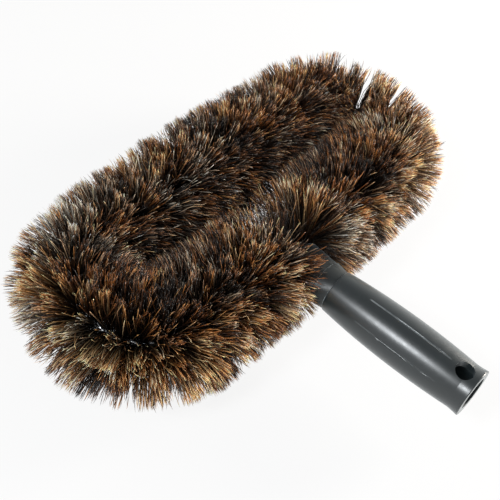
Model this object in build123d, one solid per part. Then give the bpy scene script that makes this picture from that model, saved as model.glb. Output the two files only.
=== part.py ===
from build123d import *
import math
import os

# Cobweb brush: hair twisted between two steel wires, bent into a long closed loop,
# with both wire ends held in the neck of a hollow plastic grip.
# Millimetres. The handle's axis is the Y axis, the loop lies flat in the XY plane,
# and the origin is the middle of the pole socket's mouth, at the butt of the grip.

# Driving sizes of the wire loop
loop_reach_left = 143.0
loop_reach_right = 163.0
loop_half_width = 48.5
loop_half_width_at_ends = 43.0
end_bend_share = 0.9
far_bow_radius = 400.0
neck_bend_radius = 7.0

# Driving sizes of the two wires
wire_diameter = 2.2
wire_gap = 0.1
wire_depth_in_neck = 27.0
wire_end_clearance = 0.5
twist_turns = 28
biarc_probe_share = 0.01

# Driving sizes of the bristles
bristle_reach = 45.0
bristle_floor_cut = 0.5
root_sleeve_wall = 1.8
root_sleeve_clearance = 0.2
strand_root_width = 1.5
strand_tip_width = 3.0
strand_clearance = 2.0
section_count = 16
pairs_per_section = 14
inner_reach_share = 0.80
ragged_shares = (1.0, 0.95, 0.98, 0.93, 0.99, 0.96, 0.94)
ragged_step_between_sides = 3
crowded_width_share = 0.4
bare_wire_at_neck = 4.2
neck_stand_off = 1.5

# Driving sizes of the grip
grip_length = 116.8
grip_seam_radius = 16.1
grip_swell = 3.05
grip_swell_from_butt = 62.0
grip_waist_radius = 17.4
grip_waist_from_butt = 9.0
grip_flare = 0.8
grip_flare_sag_share = 0.2
grip_edge_rounding = 0.6
socket_radius = 12.0
socket_floor = 6.65
side_hole_radius = 6.8
side_hole_from_butt = 11.5
grip_turn_degrees = -8.0
groove_count = 6
groove_start_from_butt = 21.0
groove_end_from_seam = 25.0
groove_depth = 0.5
groove_tool_radius = 0.9

# Driving sizes of the neck
spigot_radius = 11.5
spigot_length = 34.0
spigot_clearance = 0.15
spigot_core_radius = 8.0
web_behind_wires = 3.5
seam_step = 0.8
collar_length = 12.0
collar_end_half_width = 18.6
collar_end_half_height = 14.6
collar_edge_rounding = 0.7
collar_step = 0.8
nose_length = 25.7
wall_beside_wires = 4.35
nose_tip_half_width = 21.0
nose_tip_half_height = 13.0
nose_edge_rounding = 2.5
nose_middle_share = 0.55

# Overrun of every cutting tool past the face that it cuts
overrun = 5.0

# Sizes worked out from the ones above
wire_radius = wire_diameter / 2
strand_offset = wire_radius + wire_gap / 2
twisted_radius = strand_offset + wire_radius
hole_radius = twisted_radius + root_sleeve_clearance
sleeve_radius = hole_radius + root_sleeve_wall
grip_swell_radius = grip_seam_radius + grip_swell
grip_butt_radius = grip_waist_radius + grip_flare
collar_radius = grip_seam_radius - seam_step
nose_root_half_width = collar_end_half_width - collar_step
nose_root_half_height = collar_end_half_height - collar_step
seam_y = grip_length
collar_end_y = seam_y + collar_length
neck_tip_y = collar_end_y + nose_length
near_y = neck_tip_y + neck_bend_radius
loop_y = near_y + loop_half_width
near_end_y = loop_y - loop_half_width_at_ends
far_y = loop_y + loop_half_width
far_end_y = loop_y + loop_half_width_at_ends
end_bend_radius = loop_half_width_at_ends * end_bend_share
middle_x = (loop_reach_right - loop_reach_left) / 2
wire_x = nose_root_half_width - wall_beside_wires - hole_radius
wire_end_y = neck_tip_y - wire_depth_in_neck
groove_end_from_butt = seam_y - groove_end_from_seam
socket_depth = seam_y - spigot_length - spigot_clearance - socket_floor
floor_z = -(bristle_reach - bristle_floor_cut)


def corner_arc(before, corner, after, radius):
    """Start, centre, first heading, signed turn and length of the arc that rounds a corner."""
    heading_in = math.atan2(corner[1] - before[1], corner[0] - before[0])
    heading_out = math.atan2(after[1] - corner[1], after[0] - corner[0])
    turn = math.remainder(heading_out - heading_in, math.tau)
    cut = radius * math.tan(abs(turn) / 2)
    start = (corner[0] - cut * math.cos(heading_in), corner[1] - cut * math.sin(heading_in))
    side = math.copysign(radius, turn)
    centre = (start[0] - side * math.sin(heading_in), start[1] + side * math.cos(heading_in))
    return start, centre, heading_in, turn


def lay_route(corners, radii):
    """The wire's centre line as a list of straight runs and arcs, each with its length."""
    pieces = []
    here = corners[0]
    for before, corner, after, radius in zip(corners, corners[1:], corners[2:], radii):
        start, centre, heading, turn = corner_arc(before, corner, after, radius)
        pieces.append(("run", here, heading, math.dist(here, start)))
        pieces.append(("arc", centre, heading, turn, radius, abs(turn) * radius))
        side = math.copysign(radius, turn)
        heading_out = heading + turn
        here = (centre[0] + side * math.sin(heading_out), centre[1] - side * math.cos(heading_out))
    end = corners[-1]
    heading = math.atan2(end[1] - here[1], end[0] - here[0])
    pieces.append(("run", here, heading, math.dist(here, end)))
    return pieces


def on_route(distance):
    """Place, heading and signed curvature of the centre line at a distance along it."""
    left = distance
    for piece in route[:-1]:
        if left <= piece[-1]:
            break
        left -= piece[-1]
    else:
        piece = route[-1]
    if piece[0] == "run":
        start, heading = piece[1], piece[2]
        return start[0] + left * math.cos(heading), start[1] + left * math.sin(heading), heading, 0
    centre, heading, turn, radius = piece[1], piece[2], piece[3], piece[4]
    heading += math.copysign(left / radius, turn)
    side = math.copysign(radius, turn)
    return (centre[0] + side * math.sin(heading), centre[1] - side * math.cos(heading),
            heading, 1 / side)


route = lay_route(
    [(-wire_x, wire_end_y), (-wire_x, near_y), (-loop_reach_left, near_end_y),
     (-loop_reach_left, far_end_y), (middle_x, far_y), (loop_reach_right, far_end_y),
     (loop_reach_right, near_end_y), (wire_x, near_y), (wire_x, wire_end_y)],
    [neck_bend_radius, end_bend_radius, end_bend_radius, far_bow_radius,
     end_bend_radius, end_bend_radius, neck_bend_radius])
route_length = sum(piece[-1] for piece in route)
bristle_start = wire_depth_in_neck + bare_wire_at_neck
bristle_length = route_length - 2 * bristle_start
twist_pitch = bristle_length / twist_turns
pair_spacing = bristle_length / (section_count * pairs_per_section)
route_steps = [route_length * step / (section_count * pairs_per_section)
               for step in range(section_count * pairs_per_section + 1)]
route_checks = [(at, on_route(at)) for at in route_steps]


def around_route(distance, offset, angle):
    """A point at an offset from the centre line; angle 0 is level, a quarter turn is up."""
    x, y, heading, _ = on_route(distance)
    level = offset * math.cos(angle)
    return Vector(x - level * math.sin(heading), y + level * math.cos(heading),
                  offset * math.sin(angle))


def twist_angle(distance):
    """How far the two wires have turned round each other at a distance along the loop."""
    return math.tau * (distance - bristle_start - pair_spacing / 2) / twist_pitch


def biarc(start, start_way, end, end_way):
    """Two arcs that join two points along their directions, meeting smoothly."""
    reach = end - start
    ways = start_way + end_way
    bend = 2 * (1 - start_way.dot(end_way))
    along = reach.dot(ways)
    handle = (math.sqrt(along ** 2 + bend * reach.dot(reach)) - along) / bend
    joint = (start + start_way * handle + end - end_way * handle) / 2
    first = Edge.make_tangent_arc(start, start_way, joint)
    return first, Edge.make_tangent_arc(joint, first % 1, end)


def make_wire(half_turn):
    """One of the two wires, a quarter turn of its lay to each pair of arcs."""
    quarters = round(route_length / (twist_pitch / 4))
    step = route_length / quarters
    probe = step * biarc_probe_share
    places = []
    ways = []
    for index in range(quarters + 1):
        at = index * step
        places.append(around_route(at, strand_offset, twist_angle(at) + half_turn))
        ahead = around_route(at + probe, strand_offset, twist_angle(at + probe) + half_turn)
        behind = around_route(at - probe, strand_offset, twist_angle(at - probe) + half_turn)
        ways.append((ahead - behind).normalized())
    arcs = []
    for index in range(quarters):
        arcs.extend(biarc(places[index], ways[index], places[index + 1], ways[index + 1]))
    path = Wire(arcs)
    section = Plane(origin=places[0], z_dir=ways[0]) * Circle(wire_radius)
    solid = sweep(section, path=path)
    print("wire volume over section times length",
          round(solid.volume / (math.pi * wire_radius ** 2 * path.length), 4))
    return solid


def in_the_way(point, distance, level):
    """True where a strand would meet those from further along the loop, the neck or the grip."""
    others = [math.hypot(point.X - x, point.Y - y) for at, (x, y, _, _) in route_checks
              if abs(at - distance) > bristle_reach]
    if min(others) < abs(level) + strand_tip_width + strand_clearance:
        return True
    half_width = nose_tip_half_width
    if point.Y < seam_y:
        half_width = grip_swell_radius
    beside = math.hypot(point.X, point.Z) < half_width + neck_stand_off
    return beside and point.Y < neck_tip_y + neck_stand_off


def strand_reach(distance, angle, longest):
    """How far a strand can reach at this angle before something is in its way."""
    _, _, _, curvature = on_route(distance)
    level_share = math.cos(angle)
    if level_share * curvature > 0:
        longest = min(longest, inner_reach_share / (level_share * curvature))
    reach = sleeve_radius + strand_root_width
    step = strand_root_width / 2
    while reach + step < longest:
        level = (reach + step) * level_share
        if in_the_way(around_route(distance, reach + step, angle), distance, level):
            return reach
        reach += step
    return longest


def make_strand(distance, angle, longest):
    """One four-sided strand, from inside the root sleeve out to its cut tip."""
    reach = strand_reach(distance, angle, longest)
    _, _, heading, curvature = on_route(distance)
    crowding = 1 - reach * math.cos(angle) * curvature
    crowding = min(max(crowding, crowded_width_share), 1)
    root_radius = sleeve_radius - root_sleeve_wall / 2
    root = around_route(distance, root_radius, angle)
    tip = around_route(distance, reach, angle)
    along = Vector(math.cos(heading), math.sin(heading), 0)
    tip_width = strand_root_width + (strand_tip_width - strand_root_width) * reach / bristle_reach
    faces = []
    for place, width in ((root, strand_root_width), (tip, tip_width)):
        plane = Plane(origin=place, x_dir=along, z_dir=tip - root)
        faces.append(plane * Rectangle(width * crowding, width * crowding))
    return loft(faces)


def sleeve_path(start, end):
    """The stretch of centre line between two distances, as lines and arcs."""
    edges = []
    passed = 0
    for piece in route:
        first = max(start, passed)
        last = min(end, passed + piece[-1])
        passed += piece[-1]
        if last <= first:
            continue
        ends = [around_route(at, 0, 0) for at in (first, (first + last) / 2, last)]
        if piece[0] == "run":
            edges.append(Edge.make_line(ends[0], ends[2]))
        else:
            edges.append(Edge.make_three_point_arc(*ends))
    return Wire(edges)


def make_section(number):
    """One section of the bristles: paired strands on the lay, fused to their root sleeve."""
    start = bristle_start + number * pairs_per_section * pair_spacing
    end = start + pairs_per_section * pair_spacing
    x, y, heading, _ = on_route(start)
    face = Plane(origin=(x, y, 0), x_dir=(0, 0, 1),
                 z_dir=(math.cos(heading), math.sin(heading), 0))
    ring = face * (Circle(sleeve_radius) - Circle(hole_radius))
    sleeve = sweep(ring, path=sleeve_path(start, end))
    strands = []
    for pair in range(pairs_per_section):
        at = start + (pair + 1 / 2) * pair_spacing
        for side in (0, 1):
            way = twist_angle(at) + math.pi / 2 + side * math.pi
            upright = abs(math.cos(way)) < strand_root_width / bristle_reach
            order = number * pairs_per_section + pair + side * ragged_step_between_sides
            share = 1 if upright else ragged_shares[order % len(ragged_shares)]
            strands.append(make_strand(at, way, bristle_reach * share))
    section = sleeve.fuse(*strands)
    span = 2 * (loop_reach_left + loop_reach_right + bristle_reach)
    under = Pos(0, loop_y, floor_z) * Box(
        span, span, bristle_reach, align=(Align.CENTER, Align.CENTER, Align.MAX))
    return section - under


def circle_through(first, second, third):
    """Centre and radius of the circle through three points."""
    arc = ThreePointArc(first, second, third)
    return arc.arc_center, arc.radius


swell_points = ((grip_seam_radius, seam_y), (grip_swell_radius, grip_swell_from_butt),
                (grip_waist_radius, grip_waist_from_butt))
swell_centre, swell_radius = circle_through(*swell_points)
toward_head = Plane(origin=(0, 0, 0), x_dir=(1, 0, 0), z_dir=(0, 1, 0))


def grip_radius_at(y):
    """Radius of the grip's swelling outside at a distance from the butt."""
    return swell_centre.X + math.sqrt(swell_radius ** 2 - (y - swell_centre.Y) ** 2)


def make_groove_tool():
    """A bar bent a little more than the swelling, so that its groove fades out at both ends."""
    middle = (groove_start_from_butt + groove_end_from_butt) / 2
    places = []
    for y, depth in ((groove_start_from_butt, 0), (middle, groove_depth), (groove_end_from_butt, 0)):
        places.append(Vector(0, y, grip_radius_at(y) + groove_tool_radius - depth))
    path = Edge.make_three_point_arc(*places)
    return sweep(Plane(origin=path @ 0, z_dir=path % 0) * Circle(groove_tool_radius), path=path)


def make_grip():
    """The hollow grip: swelling outside, pole socket, spigot socket, side hole and grooves."""
    flare_middle = (grip_waist_radius + grip_flare * (1 / 2 - grip_flare_sag_share),
                    grip_waist_from_butt / 2)
    outline = [
        ThreePointArc(*swell_points),
        ThreePointArc(swell_points[2], flare_middle, (grip_butt_radius, 0)),
        Polyline((grip_butt_radius, 0), (0, 0), (0, seam_y), swell_points[0])]
    body = revolve(make_face(outline), axis=Axis.Y)
    rims = body.edges().filter_by(GeomType.CIRCLE).sort_by(Axis.Y)
    body = fillet([rims[0], rims[-1]], grip_edge_rounding)
    body -= extrude(toward_head * Circle(socket_radius), socket_depth)
    body -= extrude(toward_head.offset(seam_y) * Circle(spigot_radius + spigot_clearance),
                    -(spigot_length + spigot_clearance))
    upward = Plane(origin=(0, side_hole_from_butt, 0), z_dir=(0, 0, 1))
    body -= extrude(upward * Circle(side_hole_radius), grip_butt_radius + overrun)
    tool = make_groove_tool()
    body -= [tool.rotate(Axis.Y, index * 360 / groove_count) for index in range(groove_count)]
    return body.rotate(Axis.Y, grip_turn_degrees)


def make_neck():
    """The neck: a spigot in the grip, a collar and a nose that widen to the two wire holes."""
    spigot = extrude(toward_head.offset(seam_y) * Circle(spigot_radius), -spigot_length)
    collar = loft([
        toward_head.offset(seam_y) * Ellipse(collar_radius, collar_radius),
        toward_head.offset(collar_end_y) * Ellipse(collar_end_half_width, collar_end_half_height)])
    collar = fillet(collar.edges().group_by(Axis.Y)[-1], collar_edge_rounding)
    widening = nose_tip_half_width - nose_root_half_width
    flattening = nose_tip_half_height - nose_root_half_height
    nose = loft([
        toward_head.offset(collar_end_y) * Ellipse(nose_root_half_width, nose_root_half_height),
        toward_head.offset(collar_end_y + nose_length / 2) * Ellipse(
            nose_root_half_width + nose_middle_share * widening,
            nose_root_half_height + nose_middle_share * flattening),
        toward_head.offset(neck_tip_y) * Ellipse(nose_tip_half_width, nose_tip_half_height)])
    nose = fillet(nose.edges().group_by(Axis.Y)[-1], nose_edge_rounding)
    body = spigot + collar + nose
    core_end_y = wire_end_y - wire_end_clearance - web_behind_wires
    spigot_end_y = seam_y - spigot_length
    body -= extrude(toward_head.offset(spigot_end_y) * Circle(spigot_core_radius),
                    core_end_y - spigot_end_y)
    for side in (-1, 1):
        bottom = toward_head.offset(wire_end_y - wire_end_clearance) * Pos(side * wire_x, 0)
        body -= extrude(bottom * Circle(hole_radius), wire_depth_in_neck + overrun)
    return body


os.makedirs("parts", exist_ok=True)
pieces = {"grip": make_grip(), "neck": make_neck(),
          "twisted_wire_a": make_wire(0), "twisted_wire_b": make_wire(math.pi)}
for number in range(section_count):
    pieces[f"bristles_{number + 1:02d}"] = make_section(number)
for name, piece in pieces.items():
    piece.label = name
    export_step(piece, f"parts/{name}.step")
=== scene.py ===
"""The looks of the cobweb brush: fine hair on the twisted wires, moulded plastic and galvanised steel."""
import math

import bpy
import numpy as np
from mathutils import Matrix, Vector


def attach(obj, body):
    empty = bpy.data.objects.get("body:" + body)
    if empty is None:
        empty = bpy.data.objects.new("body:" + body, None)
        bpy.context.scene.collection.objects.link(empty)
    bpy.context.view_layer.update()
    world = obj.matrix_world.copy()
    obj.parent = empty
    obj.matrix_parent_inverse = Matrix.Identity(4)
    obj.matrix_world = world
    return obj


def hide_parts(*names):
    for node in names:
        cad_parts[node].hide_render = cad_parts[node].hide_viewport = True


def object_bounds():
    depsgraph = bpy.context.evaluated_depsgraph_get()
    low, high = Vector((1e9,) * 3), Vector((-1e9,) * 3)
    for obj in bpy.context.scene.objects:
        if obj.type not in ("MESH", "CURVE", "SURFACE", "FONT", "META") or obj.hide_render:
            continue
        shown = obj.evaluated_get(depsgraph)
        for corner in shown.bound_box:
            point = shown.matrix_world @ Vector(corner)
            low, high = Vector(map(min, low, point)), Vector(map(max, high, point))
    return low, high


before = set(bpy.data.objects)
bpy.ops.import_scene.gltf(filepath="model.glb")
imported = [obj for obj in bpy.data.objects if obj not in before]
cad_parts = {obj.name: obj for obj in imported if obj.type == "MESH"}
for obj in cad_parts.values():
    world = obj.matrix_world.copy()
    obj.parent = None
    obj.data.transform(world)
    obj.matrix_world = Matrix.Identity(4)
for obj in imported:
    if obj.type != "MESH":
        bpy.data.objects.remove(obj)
cad_low, cad_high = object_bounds()

MM = 0.001

# Camera, in metres and degrees, as the photograph was taken
CAMERA_AIM = (-0.01717, 0.18262, 0.0)
CAMERA_DISTANCE = 0.7155
CAMERA_HEADING = 60.66
CAMERA_ELEVATION = 47.53
CAMERA_ROLL = -14.61
LENS_MM = 72.0
SENSOR_MM = 36.0
PICTURE_PIXELS = 500

# The wire loop's driving sizes, as the construction has them
LOOP_REACH_LEFT = 143 * MM
LOOP_REACH_RIGHT = 163 * MM
LOOP_HALF_WIDTH = 48.5 * MM
LOOP_HALF_WIDTH_AT_ENDS = 43 * MM
END_BEND_SHARE = 0.9
FAR_BOW_RADIUS = 400 * MM
NECK_BEND_RADIUS = 7 * MM
WIRE_DEPTH_IN_NECK = 27 * MM
WIRE_X = 11 * MM
TWIST_TURNS = 28
SECTION_COUNT = 16
PAIRS_PER_SECTION = 14
BARE_WIRE_AT_NECK = 4.2 * MM

# The handle's sizes that the hair has to keep clear of
SEAM_Y = 116.8 * MM
COLLAR_END_Y = 128.8 * MM
NECK_TIP_Y = 154.5 * MM
COLLAR_HALF_WIDTH = 18.6 * MM
COLLAR_HALF_HEIGHT = 14.6 * MM
GRIP_RADIUS = 19.2 * MM
NOSE_TIP_HALF_WIDTH = 21 * MM
NOSE_TIP_HALF_HEIGHT = 13 * MM
HAIR_CLEARANCE = 0.5 * MM
LEAST_INSIDE_SHARE = 0.05

NEAR_Y = NECK_TIP_Y + NECK_BEND_RADIUS
LOOP_Y = NEAR_Y + LOOP_HALF_WIDTH
FLOOR_Z = cad_low.z


# The centre line of the wires


def corner_arc(before, corner, after, radius):
    """Start, centre, first heading and signed turn of the arc that rounds a corner."""
    heading_in = math.atan2(corner[1] - before[1], corner[0] - before[0])
    heading_out = math.atan2(after[1] - corner[1], after[0] - corner[0])
    turn = math.remainder(heading_out - heading_in, math.tau)
    cut = radius * math.tan(abs(turn) / 2)
    start = (corner[0] - cut * math.cos(heading_in), corner[1] - cut * math.sin(heading_in))
    side = math.copysign(radius, turn)
    centre = (start[0] - side * math.sin(heading_in), start[1] + side * math.cos(heading_in))
    return start, centre, heading_in, turn


def lay_route():
    """The wires' centre line as rows of length, start heading, curvature and start place."""
    near_end_y = LOOP_Y - LOOP_HALF_WIDTH_AT_ENDS
    far_end_y = LOOP_Y + LOOP_HALF_WIDTH_AT_ENDS
    end_radius = LOOP_HALF_WIDTH_AT_ENDS * END_BEND_SHARE
    middle_x = (LOOP_REACH_RIGHT - LOOP_REACH_LEFT) / 2
    wire_end_y = NECK_TIP_Y - WIRE_DEPTH_IN_NECK
    corners = [(-WIRE_X, wire_end_y), (-WIRE_X, NEAR_Y), (-LOOP_REACH_LEFT, near_end_y),
               (-LOOP_REACH_LEFT, far_end_y), (middle_x, LOOP_Y + LOOP_HALF_WIDTH),
               (LOOP_REACH_RIGHT, far_end_y), (LOOP_REACH_RIGHT, near_end_y), (WIRE_X, NEAR_Y),
               (WIRE_X, wire_end_y)]
    radii = [NECK_BEND_RADIUS, end_radius, end_radius, FAR_BOW_RADIUS, end_radius, end_radius,
             NECK_BEND_RADIUS]
    rows = []
    here = corners[0]
    for before, corner, after, radius in zip(corners, corners[1:], corners[2:], radii):
        start, centre, heading, turn = corner_arc(before, corner, after, radius)
        rows.append((math.dist(here, start), heading, 0.0, *here))
        rows.append((abs(turn) * radius, heading, math.copysign(1 / radius, turn), *start))
        side = math.copysign(radius, turn)
        heading_out = heading + turn
        here = (centre[0] + side * math.sin(heading_out), centre[1] - side * math.cos(heading_out))
    end = corners[-1]
    heading = math.atan2(end[1] - here[1], end[0] - here[0])
    rows.append((math.dist(here, end), heading, 0.0, *here))
    return np.array(rows)


route = lay_route()
route_ends = np.cumsum(route[:, 0])
route_length = route_ends[-1]
bristle_start = WIRE_DEPTH_IN_NECK + BARE_WIRE_AT_NECK
bristle_length = route_length - 2 * bristle_start
section_length = bristle_length / SECTION_COUNT
twist_pitch = bristle_length / TWIST_TURNS
pair_spacing = section_length / PAIRS_PER_SECTION


def on_route(distance):
    """Places, headings and signed curvatures of the centre line at an array of distances."""
    index = np.clip(np.searchsorted(route_ends, distance), 0, len(route) - 1)
    length, heading, curvature, x, y = route[index].T
    left = distance - (route_ends[index] - length)
    turned = heading + left * curvature
    bent = np.where(curvature == 0, 1.0, curvature)
    x = x + np.where(curvature == 0, left * np.cos(heading), (np.sin(turned) - np.sin(heading)) / bent)
    y = y + np.where(curvature == 0, left * np.sin(heading), (np.cos(heading) - np.cos(turned)) / bent)
    return x, y, turned, curvature


def twist_angle(distance):
    """How far the two wires have turned round each other at each distance."""
    return math.tau * (distance - bristle_start - pair_spacing / 2) / twist_pitch


# Hair

HAIRS_PER_SECTION = 5200
HAIR_REACH = 45.6 * MM
HAIR_REACH_SPREAD = 0.014
HAIR_LONGEST = 48.0 * MM
HAIR_ANGLE_SPREAD = 0.05
HAIR_ROOT_RADIUS = 1.6 * MM
HAIR_SWAY = 1.3 * MM
HAIR_THICKNESS = (0.20 * MM, 0.36 * MM)
HAIR_TAPER = 0.25
HAIR_STATIONS = (0.0, 0.36, 0.7, 0.92)
STEEP_HAIR = 0.9
SIDES = 3
HAIR_SEED = 100
THICKNESS_SEED = 500

# Some of a tuft's hairs are short
SHORT_HAIR_SHARE = 0.2
SHORT_HAIR_REACH = (0.55, 0.97)

# Inside the loop hairs are longer, and some of them rise or sink
INNER_EXTRA_REACH = 0.16
INNER_LIFT = 0.25
INNER_LIFTED_SHARE = 0.6

# Tufts: how far their angle, lean and length vary, how many are low, and how their hairs spread
TUFTS_PER_SECTION = 140
TUFT_ANGLE_SPREAD = 0.40
TUFT_LEAN_SPREAD = 0.10
TUFT_REACH_SPREAD = 0.02
LOW_TUFT_SHARE = 0.4
LOW_TUFT_REACH = (0.66, 0.96)
TUFT_ROOT_SPREAD = 2.2 * MM
TUFT_TIP_SPREAD = 1.5 * MM

# Stray hairs, fewer of them outside the loop
STRAY_SHARE = 0.30
STRAY_SHARE_LESS_OUTSIDE = 0.12
STRAY_ANGLE_SPREAD = 0.35
STRAY_LEAN_SPREAD = 0.2
STRAY_SWAY = 1.8

# Tone and warmth: what share of a tuft's comes from its patch and of a hair's from its tuft
PATCHES_PER_SECTION = 16
PATCH_LENGTH = 11 * MM
PATCH_ANGLE = 0.55
PATCH_TONE_SHARE = 0.25
PATCH_WARMTH_SHARE = 0.5
TUFT_TONE_SHARE = 0.5
TUFT_WARMTH_SHARE = 0.65
TONE_CONTRAST = 1.12
# Outer hair is painted paler and inner hair painted darker: painted light on the outside, painted shade
# inside the loop
OUTER_PAINTED_LIGHT = 0.06
WARMTH_CONTRAST = 2.6
WARMTH_MIDDLE = 0.68

# Slits in the outer hair: each one's inner end, outer end and half width in the photograph's pixels
SLITS = (((357, 109), (370, 77), 4.2), ((390, 104), (405, 83), 3.4), ((131, 385), (130, 412), 2.6))
SLIT_REACH = 28.0
SLIT_LENGTH_CLEARED = 1.15
SLIT_MOST_LEAN = 0.6
SLIT_TEST_LEAN = 0.05
SLIT_LEAST_RATE = 5
SLIT_TEST_SHARES = (0.4, 0.7, 1.0)
SLIT_CUT_SHARES = (1.0, 0.9, 0.8, 0.7, 0.6, 0.5, 0.4, 0.3, 0.2)
SLIT_CUT_STEP = 0.1
SLIT_CUT_WIDTH = 0.8

# Painted shade and painted light on the hair, where the brush lies in shade or in light: place from the
# first hair and half length in millimetres, height over the loop's plane outside it and half height in
# degrees, and how far the tone (down for painted shade, up for painted light) and the warmth go down or up
PAINTED_LIGHT_AND_SHADE_ON_HAIR = (
    (120, 44, 100, 26, -0.20, 0), (100, 14, 78, 18, -0.12, 0), (66, 28, 76, 20, -0.12, 0),
    (62, 24, 45, 14, -0.16, 0), (74, 22, 134, 18, -0.12, 0), (178, 20, 121, 20, -0.14, 0),
    (283, 20, 106, 26, -0.08, 0), (310, 16, 148, 18, -0.16, 0), (363, 14, 112, 16, -0.16, 0),
    (444, 22, 119, 20, -0.16, 0), (523, 34, 145, 18, -0.12, 0), (617, 14, 137, 20, -0.14, 0),
    (640, 30, 88, 26, -0.16, 0.2), (621, 16, 62, 20, -0.10, 0), (672, 14, 105, 26, -0.12, 0.2),
    (230, 18, 100, 30, -0.12, 0), (136, 12, -20, 34, -0.24, 0), (96, 10, 44, 14, -0.12, 0),
    (80, 40, 14, 40, 0.06, 0.6), (103, 12, 4, 30, 0.18, 0.3), (146, 22, 34, 34, 0.28, -0.2),
    (206, 26, 44, 50, 0.22, -0.3), (560, 44, 60, 50, 0.12, 0.3), (606, 24, 0, 30, 0.14, 0.3),
    (682, 12, 15, 24, 0.20, 0.2), (698, 8, 100, 40, 0.20, 0.3), (6, 8, 81, 30, 0.12, 0),
    (450, 40, 75, 30, 0.04, 0.4))

# The hair next to the neck sweeps away from it, but on the left the outer hair lies over it
NECK_SWEEP_LENGTH = 18 * MM
NECK_SWEEP_LEFT = 0.30
NECK_COVER_LEFT = 1.0
NECK_SWEEP_RIGHT = 0.50

# The near left bend's hair falls to both sides of this direction and shows the wires
WIRE_PARTING_AT = 146 * MM
WIRE_PARTING_WIDTH = 21 * MM
WIRE_PARTING_TOWARD = (-0.53, -0.21, 0.82)
WIRE_PARTING_TURN = 0.55
WIRE_PARTING_ANGLE = 0.35
PARTED_LOOSENESS = 0.16
MOST_LOOSENESS = 1.2


def wrapped(angle):
    """An angle brought between minus pi and pi."""
    return np.remainder(angle + math.pi, math.tau) - math.pi


def blend(share, first, second):
    """A mean of two, in which the first has the given share."""
    return share * first + (1 - share) * second


def part_hair(at, angle, lean, loose):
    """The angle and lean of each hair after the neck and the parting have turned it aside."""
    place = at - bristle_start
    from_end = bristle_length - place
    outer_top = np.maximum(np.sin(2 * angle), 0) * (np.sin(angle) > 0)
    lean = lean + NECK_SWEEP_LEFT * np.exp(-place / NECK_SWEEP_LENGTH) * loose * np.sin(angle)
    lean = lean - NECK_COVER_LEFT * np.exp(-place / NECK_SWEEP_LENGTH) * loose * outer_top
    lean = lean - NECK_SWEEP_RIGHT * np.exp(-from_end / NECK_SWEEP_LENGTH) * loose
    heading = on_route(at)[2]
    toward = WIRE_PARTING_TOWARD
    across = toward[1] * np.cos(heading) - toward[0] * np.sin(heading)
    aside = wrapped(angle - np.arctan2(toward[2], across))
    near = np.exp(-((place - WIRE_PARTING_AT) / WIRE_PARTING_WIDTH) ** 4)
    turn = WIRE_PARTING_TURN * np.sign(aside) * np.exp(-np.abs(aside) / WIRE_PARTING_ANGLE)
    return angle + turn * (loose > PARTED_LOOSENESS) * near, lean


def camera_axes():
    """The camera's right, up and forward directions."""
    heading = math.radians(CAMERA_HEADING)
    elevation = math.radians(CAMERA_ELEVATION)
    roll = math.radians(CAMERA_ROLL)
    forward = np.array([math.sin(heading) * math.cos(elevation), math.cos(heading) * math.cos(elevation),
                        -math.sin(elevation)])
    right = np.cross(forward, (0.0, 0.0, 1.0))
    right /= np.linalg.norm(right)
    up = np.cross(right, forward)
    rolled_right = right * math.cos(roll) - up * math.sin(roll)
    rolled_up = up * math.cos(roll) + right * math.sin(roll)
    return rolled_right, rolled_up, forward


def seen_at(points):
    """The pixels of the photograph at which points are seen."""
    right, up, forward = camera_axes()
    from_eye = points - np.array(CAMERA_AIM) + forward * CAMERA_DISTANCE
    scale = PICTURE_PIXELS * LENS_MM / SENSOR_MM / (from_eye @ forward)
    return np.stack([from_eye @ right * scale, -(from_eye @ up) * scale], 1) + PICTURE_PIXELS / 2


def toward_tip(out, along, lean):
    """The unit direction of each hair."""
    way = out + along * np.tan(lean)[:, None]
    return way / np.linalg.norm(way, axis=1)[:, None]


def open_slits(root, out, along, reach, lean):
    """The lean and reach of each hair, moved aside from the slits, or short where it would still cross."""

    def seen_from(inner_end, share, lean):
        """Pixels from a slit's inner end to the spot at a share of each hair."""
        return seen_at(root + toward_tip(out, along, lean) * (reach * share)[:, None]) - inner_end

    kept = np.ones(len(lean))
    for inner_end, outer_end, half_width in SLITS:
        length = math.dist(inner_end, outer_end)
        line = (np.array(outer_end) - np.array(inner_end)) / length
        side = np.array([-line[1], line[0]])
        spots = []
        for share in SLIT_TEST_SHARES:
            here = seen_from(inner_end, share, lean)
            moved = seen_from(inner_end, share, lean + SLIT_TEST_LEAN)
            spots.append((here @ side, here @ line, (moved - here) @ side / SLIT_TEST_LEAN))
        to = np.sign(sum(spot[0] for spot in spots))
        step = np.zeros(len(lean))
        for off, past, rate in spots:
            beside = (past > 0) & (past < SLIT_LENGTH_CLEARED * length) & (np.abs(off) < SLIT_REACH)
            missing = np.maximum(half_width - off * to, 0) * beside
            needed = missing * to / np.where(np.abs(rate) < SLIT_LEAST_RATE, np.inf, rate)
            step = np.where(np.abs(needed) > np.abs(step), needed, step)
        lean = lean + np.clip(step, -SLIT_MOST_LEAN, SLIT_MOST_LEAN)
        for share in SLIT_CUT_SHARES:
            here = seen_from(inner_end, share, lean)
            off, past = np.abs(here @ side), here @ line
            inside = (off < SLIT_CUT_WIDTH * half_width) & (past > 0) & (past < length)
            kept = np.where(inside, share - SLIT_CUT_STEP, kept)
    return lean, reach * kept


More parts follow.
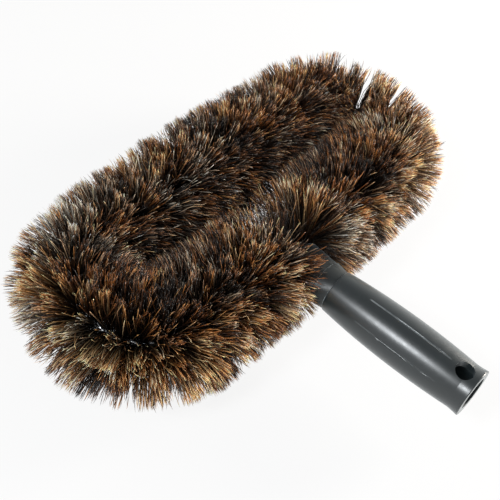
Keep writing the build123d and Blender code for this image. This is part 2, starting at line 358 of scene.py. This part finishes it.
def hair_bundle(number):
    """Roots, bends and tips of one section's hairs, with a tone and a warmth for each."""
    random = np.random.default_rng(HAIR_SEED + number)
    count = HAIRS_PER_SECTION
    first = bristle_start + number * section_length

    # Each tuft has its own place on the lay, its lean along the wire, its length and its tone
    tuft_at = first + random.uniform(0, section_length, TUFTS_PER_SECTION)
    tuft_side = random.integers(0, 2, TUFTS_PER_SECTION)
    tuft_angle = (twist_angle(tuft_at) + math.pi / 2 + math.pi * tuft_side
                  + random.normal(0, TUFT_ANGLE_SPREAD, TUFTS_PER_SECTION))
    tuft_lean = random.normal(0, TUFT_LEAN_SPREAD, TUFTS_PER_SECTION)
    tuft_reach = random.normal(1, TUFT_REACH_SPREAD, TUFTS_PER_SECTION)
    low = random.uniform(0, 1, TUFTS_PER_SECTION) < LOW_TUFT_SHARE
    tuft_reach = np.where(low, random.uniform(*LOW_TUFT_REACH, TUFTS_PER_SECTION), tuft_reach)

    # Patches of hair share a warmth and a tone
    patch_at = first + random.uniform(0, section_length, PATCHES_PER_SECTION)
    patch_angle = random.uniform(0, math.tau, PATCHES_PER_SECTION)
    patch_warmth = random.uniform(0, 1, PATCHES_PER_SECTION)
    patch_tone = random.uniform(0, 1, PATCHES_PER_SECTION)
    apart = (((tuft_at[:, None] - patch_at) / PATCH_LENGTH) ** 2
             + (wrapped(tuft_angle[:, None] - patch_angle) / PATCH_ANGLE) ** 2)
    patch = np.argmin(apart, axis=1)
    tuft_warmth = blend(PATCH_WARMTH_SHARE, patch_warmth[patch], random.uniform(0, 1, TUFTS_PER_SECTION))
    tuft_tone = blend(PATCH_TONE_SHARE, patch_tone[patch], random.uniform(0, 1, TUFTS_PER_SECTION))

    # A tuft's hairs start apart along the wires and meet at their tips
    tuft = random.integers(0, TUFTS_PER_SECTION, count)
    root_offset = random.normal(0, TUFT_ROOT_SPREAD, count)
    at = tuft_at[tuft] + root_offset
    angle = tuft_angle[tuft] + random.normal(0, HAIR_ANGLE_SPREAD, count)
    lean = tuft_lean[tuft] + (random.normal(0, TUFT_TIP_SPREAD, count) - root_offset) / HAIR_REACH

    # Some hairs stray from their tuft, fewer of them outside the loop
    stray = random.uniform(0, 1, count) < STRAY_SHARE - STRAY_SHARE_LESS_OUTSIDE * np.cos(angle)
    angle = np.where(stray, angle + random.normal(0, STRAY_ANGLE_SPREAD, count), angle)
    lean = np.where(stray, lean + random.normal(0, STRAY_LEAN_SPREAD, count), lean)
    angle, lean = part_hair(at, angle, lean, random.uniform(0, MOST_LOOSENESS, count))

    # Inside the loop the two arms' hairs meet, so they rise or sink there, and show their whole length
    inward = np.maximum(-np.cos(angle), 0)
    lifted = random.uniform(0, 1, count) < INNER_LIFTED_SHARE
    angle = angle - INNER_LIFT * inward ** 3 * np.sign(np.sin(angle)) * lifted
    reach = HAIR_REACH * tuft_reach[tuft] * random.normal(1, HAIR_REACH_SPREAD, count)
    short = random.uniform(0, 1, count) < SHORT_HAIR_SHARE
    reach = np.where(short, reach * random.uniform(*SHORT_HAIR_REACH, count), reach)
    reach = np.minimum(reach, HAIR_LONGEST) * (1 + INNER_EXTRA_REACH * inward)

    x, y, heading, curvature = on_route(at)
    level = np.cos(angle)
    along = np.stack([np.cos(heading), np.sin(heading), np.zeros(count)], 1)
    across = np.stack([-np.sin(heading), np.cos(heading), np.zeros(count)], 1)
    up = np.array([0.0, 0.0, 1.0])
    out = across * level[:, None] + up * np.sin(angle)[:, None]
    root = np.stack([x, y, np.zeros(count)], 1) + out * HAIR_ROOT_RADIUS
    lean, reach = open_slits(root, out, along, reach, lean)
    tip = root + toward_tip(out, along, lean) * (reach - HAIR_ROOT_RADIUS)[:, None]

    sway = random.normal(0, HAIR_SWAY, (count, 3)) * np.where(stray, STRAY_SWAY, 1.0)[:, None]
    middle = (root + tip) / 2 + sway
    tone = blend(TUFT_TONE_SHARE, tuft_tone[tuft], random.uniform(0, 1, count))
    # Painted light on the outer hair and painted shade on the inner hair
    tone = 0.5 + TONE_CONTRAST * (tone - 0.5) + OUTER_PAINTED_LIGHT * level
    warmth = blend(TUFT_WARMTH_SHARE, tuft_warmth[tuft], random.uniform(0, 1, count))
    warmth = WARMTH_MIDDLE + WARMTH_CONTRAST * (warmth - 0.5)
    # Painted shade and painted light: the tone goes down or up in patches where the brush lies in shade or
    # in light
    for place, half_length, height, half_height, painted_light_or_shade, warmer in PAINTED_LIGHT_AND_SHADE_ON_HAIR:
        aside = (at - bristle_start - place * MM) / (half_length * MM)
        above = wrapped(angle - math.radians(height)) / math.radians(half_height)
        near = np.exp(-aside ** 2 - above ** 2)
        tone += painted_light_or_shade * near
        warmth += warmer * near
    warmth = np.clip(warmth, 0, 1)
    return root, middle, tip, tone, warmth


def keep_clear(points):
    """Points pushed out of the neck and grip, and up onto the floor."""
    points = points.copy()
    share = np.clip((points[:, 1] - COLLAR_END_Y) / (NECK_TIP_Y - COLLAR_END_Y), 0, 1)
    wide = COLLAR_HALF_WIDTH + share * (NOSE_TIP_HALF_WIDTH - COLLAR_HALF_WIDTH) + HAIR_CLEARANCE
    high = COLLAR_HALF_HEIGHT + share * (NOSE_TIP_HALF_HEIGHT - COLLAR_HALF_HEIGHT) + HAIR_CLEARANCE
    past_seam = points[:, 1] < SEAM_Y
    wide = np.where(past_seam, GRIP_RADIUS, wide)
    high = np.where(past_seam, GRIP_RADIUS, high)
    inside = np.hypot(points[:, 0] / wide, points[:, 2] / high)
    beside = (inside < 1) & (points[:, 1] < NECK_TIP_Y + HAIR_CLEARANCE)
    push = np.where(beside, 1 / np.maximum(inside, LEAST_INSIDE_SHARE), 1.0)
    points[:, 0] *= push
    points[:, 2] *= push
    points[:, 2] = np.maximum(points[:, 2], FLOOR_Z)
    return points


# The margin of a hair's cell in its baked picture, and the height that the closed root takes there
CELL_EDGE = 0.06
CELL_FOOT = 0.12


def hair_places():
    """Where each corner of one hair's triangles lies in the unit cell that the hair has to itself."""
    rings = len(HAIR_STATIONS)
    edge, foot = CELL_EDGE, CELL_FOOT
    left = [(side + edge) / SIDES for side in range(SIDES)]
    right = [(side + 1 - edge) / SIDES for side in range(SIDES)]
    level = [foot + edge + (1 - foot - 2 * edge) * t for t in (*HAIR_STATIONS, 1.0)]
    places = []
    for ring in range(rings - 1):
        for side in range(SIDES):
            low, high = level[ring], level[ring + 1]
            places.append(((left[side], low), (left[side], high), (right[side], high)))
            places.append(((left[side], low), (right[side], high), (right[side], low)))
    for side in range(SIDES):
        middle = (left[side] + right[side]) / 2
        places.append(((left[side], level[-2]), (middle, level[-1]), (right[side], level[-2])))
    places.append(((edge, edge), (1 - edge, edge), (0.5, foot)))
    return np.array(places)


def hair_mesh(name, root, middle, tip, tone, warmth, random):
    """A mesh of bent, tapering hairs, each with a closed root and a point."""
    count = len(root)
    control = 2 * middle - (root + tip) / 2
    rings = len(HAIR_STATIONS)
    axis = tip - root
    axis /= np.linalg.norm(axis, axis=1)[:, None]
    steep = np.abs(axis[:, 2:3]) >= STEEP_HAIR
    helper = np.where(steep, [[1.0, 0.0, 0.0]], [[0.0, 0.0, 1.0]])
    first = np.cross(axis, helper)
    first /= np.linalg.norm(first, axis=1)[:, None]
    second = np.cross(axis, first)
    radius = random.uniform(*HAIR_THICKNESS, count)
    spin = random.uniform(0, math.tau, count)
    verts = np.zeros((count, rings * SIDES + 1, 3))
    share = np.zeros((count, rings * SIDES + 1))
    for ring, t in enumerate(HAIR_STATIONS):
        centre = root * (1 - t) ** 2 + control * 2 * t * (1 - t) + tip * t ** 2
        width = radius * (1 - HAIR_TAPER * t)
        for side in range(SIDES):
            phase = spin + math.tau * side / SIDES
            offset = first * np.cos(phase)[:, None] + second * np.sin(phase)[:, None]
            verts[:, ring * SIDES + side] = centre + offset * width[:, None]
            share[:, ring * SIDES + side] = t
    verts[:, -1] = tip
    share[:, -1] = 1
    faces = []
    for ring in range(rings - 1):
        for side in range(SIDES):
            a = ring * SIDES + side
            b = ring * SIDES + (side + 1) % SIDES
            faces.append((a, a + SIDES, b + SIDES))
            faces.append((a, b + SIDES, b))
    last = (rings - 1) * SIDES
    for side in range(SIDES):
        faces.append((last + side, rings * SIDES, last + (side + 1) % SIDES))
    faces.append((0, 1, 2))
    per_hair = rings * SIDES + 1
    all_faces = (np.array(faces)[None] + (np.arange(count) * per_hair)[:, None, None]).reshape(-1, 3)
    points = keep_clear(verts.reshape(-1, 3))
    mesh = bpy.data.meshes.new(name)
    mesh.from_pydata(points, [], all_faces)
    mesh.update()
    mesh.shade_smooth()
    for label, values in (("along", share.reshape(-1)), ("tone", np.repeat(tone, per_hair)),
                          ("warmth", np.repeat(warmth, per_hair))):
        layer = mesh.attributes.new(label, "FLOAT", "POINT")
        layer.data.foreach_set("value", values.astype(np.float32))
    cells = math.ceil(math.sqrt(count))
    cell = np.stack([np.arange(count) % cells, np.arange(count) // cells], 1)
    all_places = (hair_places()[None] + cell[:, None, None]) / cells
    mesh.uv_layers.new(name="OFBake").data.foreach_set("uv", all_places.reshape(-1).astype(np.float32))
    return mesh


# Materials

GRIP_COLOUR = (0.007, 0.0125, 0.0145)
NECK_COLOUR = (0.010, 0.014, 0.015)
# Pale painted highlights along the grip's grooves, fading toward the butt and down the sides, where less
# light falls
GROOVE_HIGHLIGHT_COLOUR = (0.19, 0.21, 0.22, 1)
GROOVE_HIGHLIGHT_NONE_Y = -20 * MM
GROOVE_HIGHLIGHT_FULL_Y = 80 * MM
GROOVE_HIGHLIGHT_NONE_HEIGHT = 4 * MM
GROOVE_HIGHLIGHT_FULL_HEIGHT = 17 * MM
# Painted highlight on the two rims of the neck's collar
RIM_HIGHLIGHT_COLOUR = (0.24, 0.27, 0.28, 1)
RIM_HIGHLIGHT_HALF_WIDTH = 0.7 * MM
GROOVE_DEGREES = tuple(-8 + 60 * side for side in range(-2, 4))
GROOVE_HALF_ANGLE = 0.045
GROOVE_MIDDLE_Y = 56.4 * MM
GROOVE_HALF_LENGTH = 34.5 * MM
GROOVE_FULL_SHARE = 0.93
LINE_FULL_SHARE = 0.4
MOTTLING_SHARES = (0.9, 1.12)
ROUGHNESS_SPREAD = 0.03
GRAIN_DEPTH = 0.02 * MM
LOW_NOISE = 0.3
HIGH_NOISE = 0.7
WIRE_TONES = ((0.74, 0.75, 0.77), (0.90, 0.91, 0.92))
WIRE_ROUGHNESS = (0.30, 0.42)


def empty_material(name):
    """A material whose node tree holds an output alone."""
    material = bpy.data.materials.new(name)
    material.use_nodes = True
    tree = material.node_tree
    tree.nodes.clear()
    return material, tree, tree.nodes.new("ShaderNodeOutputMaterial")


def new_material(name):
    """A material with a Principled shader."""
    material, tree, output = empty_material(name)
    shader = tree.nodes.new("ShaderNodeBsdfPrincipled")
    tree.links.new(shader.outputs["BSDF"], output.inputs["Surface"])
    return material, tree, shader


def ramp(tree, stops, source):
    """A colour ramp with the given stops, fed by a socket."""
    node = tree.nodes.new("ShaderNodeValToRGB")
    elements = node.color_ramp.elements
    while len(elements) > 1:
        elements.remove(elements[-1])
    elements[0].position, elements[0].color = stops[0][0], (*stops[0][1], 1)
    for place, colour in stops[1:]:
        elements.new(place).color = (*colour, 1)
    tree.links.new(source, node.inputs["Fac"])
    return node.outputs["Color"]


def noise_ramp(tree, low, high, source):
    """A colour that a noise moves between two."""
    return ramp(tree, [(LOW_NOISE, low), (HIGH_NOISE, high)], source)


def noise(tree, scale, detail):
    """A noise texture in the object's own metres."""
    coordinates = tree.nodes.new("ShaderNodeTexCoord")
    node = tree.nodes.new("ShaderNodeTexNoise")
    node.inputs["Scale"].default_value = scale
    node.inputs["Detail"].default_value = detail
    tree.links.new(coordinates.outputs["Object"], node.inputs["Vector"])
    return node.outputs["Fac"]


COOL_TONES = [
    (0.18, (0.004, 0.004, 0.004)), (0.38, (0.014, 0.011, 0.009)), (0.52, (0.085, 0.066, 0.048)),
    (0.63, (0.240, 0.195, 0.145)), (0.74, (0.500, 0.440, 0.350)), (0.88, (0.850, 0.800, 0.690))]
WARM_TONES = [
    (0.18, (0.005, 0.003, 0.002)), (0.38, (0.020, 0.008, 0.003)), (0.52, (0.180, 0.058, 0.014)),
    (0.63, (0.380, 0.140, 0.035)), (0.74, (0.600, 0.300, 0.100)), (0.88, (0.850, 0.580, 0.290))]
# Root to tip: the hair's own dark roots and pale tips, with painted shade deep at the roots and painted
# light brightening the tips past their colour
ROOT_TO_TIP = [(0.0, (0.03,) * 3), (0.5, (0.11,) * 3), (0.8, (0.62,) * 3), (1.0, (1.90,) * 3)]


def attribute(tree, name):
    """The value of a mesh attribute."""
    node = tree.nodes.new("ShaderNodeAttribute")
    node.attribute_name = name
    return node.outputs["Fac"]


def mixed(tree, kind, factor, first, second):
    """Two colours mixed by a factor; each of the three is a socket or a value."""
    node = tree.nodes.new("ShaderNodeMix")
    node.data_type = "RGBA"
    node.blend_type = kind
    node.clamp_result = True
    if isinstance(factor, (int, float)):
        node.inputs["Factor"].default_value = factor
    else:
        tree.links.new(factor, node.inputs["Factor"])
    for name, colour in (("A", first), ("B", second)):
        if isinstance(colour, tuple):
            node.inputs[name].default_value = colour
        else:
            tree.links.new(colour, node.inputs[name])
    return node.outputs["Result"]


def hair_material():
    """Natural hair with its own tone and warmth; dark roots and pale tips, darker still as painted shade
    deep in the brush and brightened past its colour as painted light at the tips.
    """
    material, tree, shader = new_material("brush_hair")
    tone = attribute(tree, "tone")
    colour = mixed(tree, "MIX", attribute(tree, "warmth"), ramp(tree, COOL_TONES, tone),
                   ramp(tree, WARM_TONES, tone))
    shade = ramp(tree, ROOT_TO_TIP, attribute(tree, "along"))
    tree.links.new(mixed(tree, "MULTIPLY", 1, colour, shade), shader.inputs["Base Color"])
    shader.inputs["Roughness"].default_value = 0.38
    shader.inputs["Specular IOR Level"].default_value = 0.6
    return material


def math_node(tree, operation, first, second=None):
    """One step of arithmetic on sockets or numbers."""
    node = tree.nodes.new("ShaderNodeMath")
    node.operation = operation
    for socket, value in zip(node.inputs, (first, second)):
        if isinstance(value, (int, float)):
            socket.default_value = value
        elif value is not None:
            tree.links.new(value, socket)
    return node.outputs[0]


def fade(tree, value, none_at, full_at):
    """A share that goes smoothly from 0 at one value to 1 at the other."""
    node = tree.nodes.new("ShaderNodeMapRange")
    node.interpolation_type = "SMOOTHSTEP"
    node.inputs["From Min"].default_value = none_at
    node.inputs["From Max"].default_value = full_at
    tree.links.new(value, node.inputs["Value"])
    return node.outputs["Result"]


def plastic_material(name, colour, roughness, bump):
    """Moulded plastic with faint mottling, a fine spark-eroded grain and a little handling bloom."""
    material, tree, shader = new_material(name)
    shader.inputs["Sheen Weight"].default_value = 0.22
    shader.inputs["Sheen Roughness"].default_value = 0.45
    shader.inputs["Sheen Tint"].default_value = (0.85, 0.95, 1.0, 1)
    darker, lighter = (tuple(part * share for part in colour) for share in MOTTLING_SHARES)
    base = noise_ramp(tree, darker, lighter, noise(tree, scale=60, detail=3))
    tree.links.new(base, shader.inputs["Base Color"])
    smoother = (roughness - ROUGHNESS_SPREAD,) * 3
    rougher = (roughness + ROUGHNESS_SPREAD,) * 3
    rough = noise_ramp(tree, smoother, rougher, noise(tree, scale=220, detail=3))
    tree.links.new(rough, shader.inputs["Roughness"])
    grain = tree.nodes.new("ShaderNodeBump")
    grain.inputs["Strength"].default_value = bump
    grain.inputs["Distance"].default_value = GRAIN_DEPTH
    tree.links.new(noise(tree, scale=2500, detail=2), grain.inputs["Height"])
    tree.links.new(grain.outputs["Normal"], shader.inputs["Normal"])
    return material, tree, shader


def own_position(tree):
    """The three parts of the place on the object, in its own metres."""
    position = tree.nodes.new("ShaderNodeTexCoord")
    parts = tree.nodes.new("ShaderNodeSeparateXYZ")
    tree.links.new(position.outputs["Object"], parts.inputs[0])
    return parts.outputs


def distance_from(tree, value, middle):
    """How far a value is from a middle one."""
    return math_node(tree, "ABSOLUTE", math_node(tree, "SUBTRACT", value, middle))


def line_at(tree, value, middle, half_width):
    """A share that is 1 where a value is near the middle one and 0 beyond the half width."""
    return fade(tree, distance_from(tree, value, middle), half_width, LINE_FULL_SHARE * half_width)


def tint(tree, shader, amount, colour):
    """Mixes a colour into a shader's base colour."""
    base = shader.inputs["Base Color"].links[0].from_socket
    tree.links.new(mixed(tree, "MIX", amount, base, colour), shader.inputs["Base Color"])


def grip_material():
    """The grip's plastic, with pale painted highlights along the grooves of its upper side."""
    material, tree, shader = plastic_material("grip_plastic", GRIP_COLOUR, roughness=0.32, bump=0.25)
    shader.inputs["Specular IOR Level"].default_value = 0.8
    place = own_position(tree)
    turn = math_node(tree, "ARCTAN2", place["X"], place["Z"])
    # Painted highlights: pale lines along the grooves, on the upper side and toward the neck, broken up by
    # noise
    groove_highlight = 0.0
    for degrees in GROOVE_DEGREES:
        line = line_at(tree, turn, math.radians(degrees), GROOVE_HALF_ANGLE)
        groove_highlight = math_node(tree, "MAXIMUM", groove_highlight, line)
    from_middle = distance_from(tree, place["Y"], GROOVE_MIDDLE_Y)
    for share in (fade(tree, from_middle, GROOVE_HALF_LENGTH, GROOVE_FULL_SHARE * GROOVE_HALF_LENGTH),
                  fade(tree, place["Y"], GROOVE_HIGHLIGHT_NONE_Y, GROOVE_HIGHLIGHT_FULL_Y),
                  fade(tree, place["Z"], GROOVE_HIGHLIGHT_NONE_HEIGHT, GROOVE_HIGHLIGHT_FULL_HEIGHT),
                  fade(tree, noise(tree, scale=70, detail=4), none_at=0.15, full_at=0.55)):
        groove_highlight = math_node(tree, "MULTIPLY", groove_highlight, share)
    tint(tree, shader, groove_highlight, GROOVE_HIGHLIGHT_COLOUR)
    return material


def neck_material():
    """The neck's plastic, with painted highlights on both rims of its collar, broken up in places."""
    material, tree, shader = plastic_material("neck_plastic", NECK_COLOUR, roughness=0.40, bump=0.3)
    place = own_position(tree)
    rims = math_node(tree, "MAXIMUM", line_at(tree, place["Y"], SEAM_Y, RIM_HIGHLIGHT_HALF_WIDTH),
                     line_at(tree, place["Y"], COLLAR_END_Y, RIM_HIGHLIGHT_HALF_WIDTH))
    # The painted rim highlights are broken up by noise
    highlight_breakup = fade(tree, noise(tree, scale=90, detail=3), none_at=0.42, full_at=0.56)
    tint(tree, shader, math_node(tree, "MULTIPLY", rims, highlight_breakup), RIM_HIGHLIGHT_COLOUR)
    return material


def wire_material():
    """Galvanised steel wire, a little patchy."""
    material, tree, shader = new_material("galvanised_wire")
    base = noise_ramp(tree, *WIRE_TONES, noise(tree, scale=300, detail=3))
    tree.links.new(base, shader.inputs["Base Color"])
    shader.inputs["Metallic"].default_value = 1
    smoother, rougher = ((part,) * 3 for part in WIRE_ROUGHNESS)
    tree.links.new(noise_ramp(tree, smoother, rougher, noise(tree, scale=500, detail=2)),
                   shader.inputs["Roughness"])
    return material


def dress(node, material):
    """Gives a construction node its finish."""
    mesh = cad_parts[node].data
    mesh.materials.clear()
    mesh.materials.append(material)


dress("grip", grip_material())
dress("neck", neck_material())
wire_finish = wire_material()
dress("twisted_wire_a", wire_finish)
dress("twisted_wire_b", wire_finish)

hair_finish = hair_material()
for number in range(SECTION_COUNT):
    name = f"hair_{number + 1:02d}"
    mesh = hair_mesh(name, *hair_bundle(number), np.random.default_rng(THICKNESS_SEED + number))
    mesh.materials.append(hair_finish)
    piece = bpy.data.objects.new(name, mesh)
    bpy.context.scene.collection.objects.link(piece)
    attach(piece, "root")
    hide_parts(f"bristles_{number + 1:02d}")


# Floor, surroundings, lamps and camera

FLOOR_HALF_SIZE = 15.0
FLOOR_COLOUR = (0.85, 0.85, 0.85, 1)
FLOOR_GLOW_SHARE = 0.88
WHITE = (1, 1, 1, 1)
HORIZON_LIGHT = 1.0
OVERHEAD_LIGHT = 0.08
OVERHEAD_REFLECTED = 0.45
OVERHEAD_FROM = 0.8


def make_floor():
    """A wide pale floor under the brush, which shows white to the camera but keeps the shadow."""
    half = FLOOR_HALF_SIZE
    mesh = bpy.data.meshes.new("floor")
    corners = [(x, y, FLOOR_Z) for x, y in ((-half, -half), (half, -half), (half, half), (-half, half))]
    mesh.from_pydata(corners, [], [(0, 1, 2, 3)])
    floor = bpy.data.objects.new("floor", mesh)
    bpy.context.scene.collection.objects.link(floor)
    material, tree, output = empty_material("pale_floor")
    matte = tree.nodes.new("ShaderNodeBsdfDiffuse")
    matte.inputs["Color"].default_value = FLOOR_COLOUR
    glow = tree.nodes.new("ShaderNodeEmission")
    glow.inputs["Color"].default_value = WHITE
    glow.inputs["Strength"].default_value = 1
    path = tree.nodes.new("ShaderNodeLightPath")
    seen = path.outputs["Is Camera Ray"]
    for kind in ("Is Glossy Ray", "Is Transmission Ray"):
        seen = math_node(tree, "MAXIMUM", seen, path.outputs[kind])
    mix = tree.nodes.new("ShaderNodeMixShader")
    tree.links.new(math_node(tree, "MULTIPLY", seen, FLOOR_GLOW_SHARE), mix.inputs["Fac"])
    tree.links.new(matte.outputs[0], mix.inputs[1])
    tree.links.new(glow.outputs[0], mix.inputs[2])
    tree.links.new(mix.outputs[0], output.inputs["Surface"])
    mesh.materials.append(material)


def make_world():
    """Pale surroundings: white to the camera and in reflections, dimmer as light."""
    world = bpy.data.worlds.new("studio")
    bpy.context.scene.world = world
    world.use_nodes = True
    tree = world.node_tree
    tree.nodes.clear()
    output = tree.nodes.new("ShaderNodeOutputWorld")
    background = tree.nodes.new("ShaderNodeBackground")
    background.inputs["Color"].default_value = WHITE
    ray = tree.nodes.new("ShaderNodeTexCoord")
    parts = tree.nodes.new("ShaderNodeSeparateXYZ")
    tree.links.new(ray.outputs["Generated"], parts.inputs[0])
    path = tree.nodes.new("ShaderNodeLightPath")

    def by_height(horizon, overhead):
        """A strength that goes from one at the horizon to another overhead."""
        node = tree.nodes.new("ShaderNodeMapRange")
        node.inputs["From Max"].default_value = OVERHEAD_FROM
        node.inputs["To Min"].default_value = horizon
        node.inputs["To Max"].default_value = overhead
        tree.links.new(parts.outputs["Z"], node.inputs["Value"])
        return node.outputs["Result"]

    def where(ray_kind, strength, otherwise):
        """One strength for a kind of ray and another for the rest."""
        node = tree.nodes.new("ShaderNodeMapRange")
        tree.links.new(path.outputs[ray_kind], node.inputs["Value"])
        tree.links.new(otherwise, node.inputs["To Min"])
        if isinstance(strength, float):
            node.inputs["To Max"].default_value = strength
        else:
            tree.links.new(strength, node.inputs["To Max"])
        return node.outputs["Result"]

    strength = by_height(HORIZON_LIGHT, OVERHEAD_LIGHT)
    strength = where("Is Glossy Ray", by_height(1.0, OVERHEAD_REFLECTED), strength)
    strength = where("Is Transmission Ray", 1.0, strength)
    strength = where("Is Camera Ray", 1.0, strength)
    tree.links.new(strength, background.inputs["Strength"])
    tree.links.new(background.outputs[0], output.inputs["Surface"])


def soft_lamp(name, toward, distance, size, power, colour, aim):
    """An area lamp at a distance from the point that it faces."""
    data = bpy.data.lights.new(name, "AREA")
    data.shape = "RECTANGLE"
    data.size, data.size_y = size
    data.energy = power
    data.color = colour
    lamp = bpy.data.objects.new(name, data)
    bpy.context.scene.collection.objects.link(lamp)
    direction = Vector(toward).normalized()
    lamp.location = Vector(aim) + direction * distance
    lamp.rotation_euler = direction.to_track_quat("Z", "Y").to_euler()


def round_lamp(name, place, radius, power, colour):
    """A globe lamp, which has no edge to its light on the floor."""
    data = bpy.data.lights.new(name, "POINT")
    data.shadow_soft_size = radius
    data.energy = power
    data.color = colour
    lamp = bpy.data.objects.new(name, data)
    lamp.location = place
    bpy.context.scene.collection.objects.link(lamp)


def make_camera():
    """The camera at the photograph's viewpoint."""
    data = bpy.data.cameras.new("camera")
    data.lens = LENS_MM
    data.sensor_width = SENSOR_MM
    camera = bpy.data.objects.new("camera", data)
    bpy.context.scene.collection.objects.link(camera)
    right, up, forward = (Vector(axis) for axis in camera_axes())
    turn = Matrix((right, up, -forward)).transposed()
    camera.matrix_world = Matrix.Translation(Vector(CAMERA_AIM) - forward * CAMERA_DISTANCE) @ turn.to_4x4()
    bpy.context.scene.camera = camera


make_floor()
make_world()
make_camera()
soft_lamp("window", toward=(-0.70, 0.17, 0.69), distance=1.2, size=(0.22, 0.22), power=8,
          colour=(0.93, 0.97, 1.0), aim=(0, 0.06, 0))
round_lamp("right", place=(0.85, -0.28, 0.26), radius=0.2, power=72, colour=(1.0, 0.93, 0.84))

bpy.context.scene.view_settings.view_transform = "Standard"
